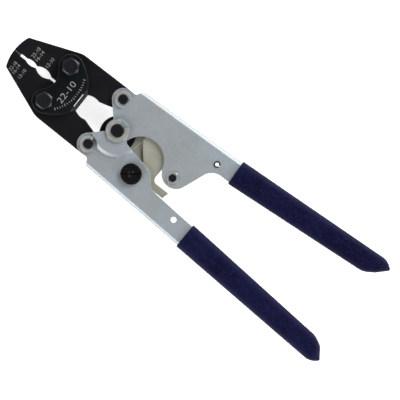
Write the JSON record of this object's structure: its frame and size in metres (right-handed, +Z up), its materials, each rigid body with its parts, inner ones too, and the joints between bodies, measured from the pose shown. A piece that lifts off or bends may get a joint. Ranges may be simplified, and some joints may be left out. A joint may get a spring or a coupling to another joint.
{
  "type": "ratchet terminal crimping tool",
  "caption": "Compound-action hand crimping tool for wire terminals, with pinned jaws on link plates, folded steel handles, a ratchet and dipped grips.",
  "frame": {"origin": "middle of the underside of the whole tool's box, with the tool lying flat and its jaws closed", "axes": "+X along the tool from the nose to the grips, +Y across it towards the upper handle, +Z up, away from the surface it lies on"},
  "size_m": [0.2542, 0.075, 0.0207],
  "materials": {
    "handle_steel": "bead-blasted and plated sheet steel, satin grey",
    "grip_vinyl": "dipped vinyl, satin navy",
    "black_pins": "black oxide on turned steel",
    "clip_steel": "plain bright spring steel",
    "black_screw": "black oxide, turned head",
    "spring_wire": "drawn spring wire",
    "hub_black": "black oxide",
    "ratchet_steel": "heat-treated steel, tan grey",
    "jaw_black": "black oxide on forged steel",
    "link_black": "black oxide on stamped steel",
    "bolt_black": "black oxide on cold-headed steel"
  },
  "bodies": {
    "lower_handle": {"lower_handle": "handle_steel", "lower_grip": "grip_vinyl", "centre_pin": "black_pins", "centre_pin_rings": "clip_steel", "lower_jaw_pin": "black_pins", "lower_jaw_pin_clips": "clip_steel", "lever_screw": "black_screw", "lever_screw_nut": "black_screw", "pawl_pin": "black_pins", "lever_spring": "spring_wire"},
    "upper_handle": {"upper_handle": "handle_steel", "upper_grip": "grip_vinyl", "upper_jaw_pin": "black_pins", "upper_jaw_pin_clips": "clip_steel", "front_hub_plate": "hub_black", "rear_hub_plate": "hub_black", "ratchet_sector": "ratchet_steel", "sector_dowels": "black_pins", "stop_pin": "black_pins", "stop_pin_collars": "clip_steel", "roll_pin": "black_pins"},
    "lower_jaw": {"lower_jaw": "jaw_black"},
    "links": {"front_link_plate": "link_black", "rear_link_plate": "link_black", "link_bolts": "bolt_black", "link_nuts": "bolt_black"},
    "upper_jaw": {"upper_jaw": "jaw_black"},
    "release_lever": {"release_lever": "ratchet_steel", "lever_drive_pin": "black_pins"},
    "pawl": {"pawl": "ratchet_steel"}
  },
  "joints": [
    {"name": "handle_pivot", "type": "hinge", "parent": "lower_handle", "child": "upper_handle", "pos_m": [-0.04979, -0.00085, 0.0108], "axis": [0, 0, 1], "range_deg": [0, 40]},
    {"name": "lower_jaw_pivot", "type": "hinge", "parent": "lower_handle", "child": "lower_jaw", "pos_m": [-0.05859, -0.01755, 0.0108], "axis": [0, 0, 1], "range_deg": [0, 26.2]},
    {"name": "link_pivot", "type": "hinge", "parent": "lower_jaw", "child": "links", "pos_m": [-0.09459, -0.01354, 0.0108], "axis": [0, 0, 1], "range_deg": [-6.2, 0]},
    {"name": "upper_jaw_pivot", "type": "hinge", "parent": "upper_handle", "child": "upper_jaw", "pos_m": [-0.05859, 0.01586, 0.0108], "axis": [0, 0, 1], "range_deg": [-26.2, 0]},
    {"name": "release_lever_pivot", "type": "hinge", "parent": "lower_handle", "child": "release_lever", "pos_m": [-0.02779, -0.01585, 0.0108], "axis": [0, 0, 1], "range_deg": [-8, 0], "stiffness_Nm_per_rad": 0.4, "springref_deg": 5.73},
    {"name": "pawl_pivot", "type": "hinge", "parent": "lower_handle", "child": "pawl", "pos_m": [-0.03429, -0.01035, 0.0108], "axis": [0, 0, 1], "range_deg": [-11.7, 0]}
  ],
  "couplings": [
    {"joint": "lower_jaw_pivot", "follows": "handle_pivot", "ratio": 0.65305},
    {"joint": "link_pivot", "follows": "handle_pivot", "ratio": -0.15305},
    {"joint": "upper_jaw_pivot", "follows": "handle_pivot", "ratio": -0.65305},
    {"joint": "pawl_pivot", "follows": "release_lever_pivot", "ratio": 1.45}
  ]
}
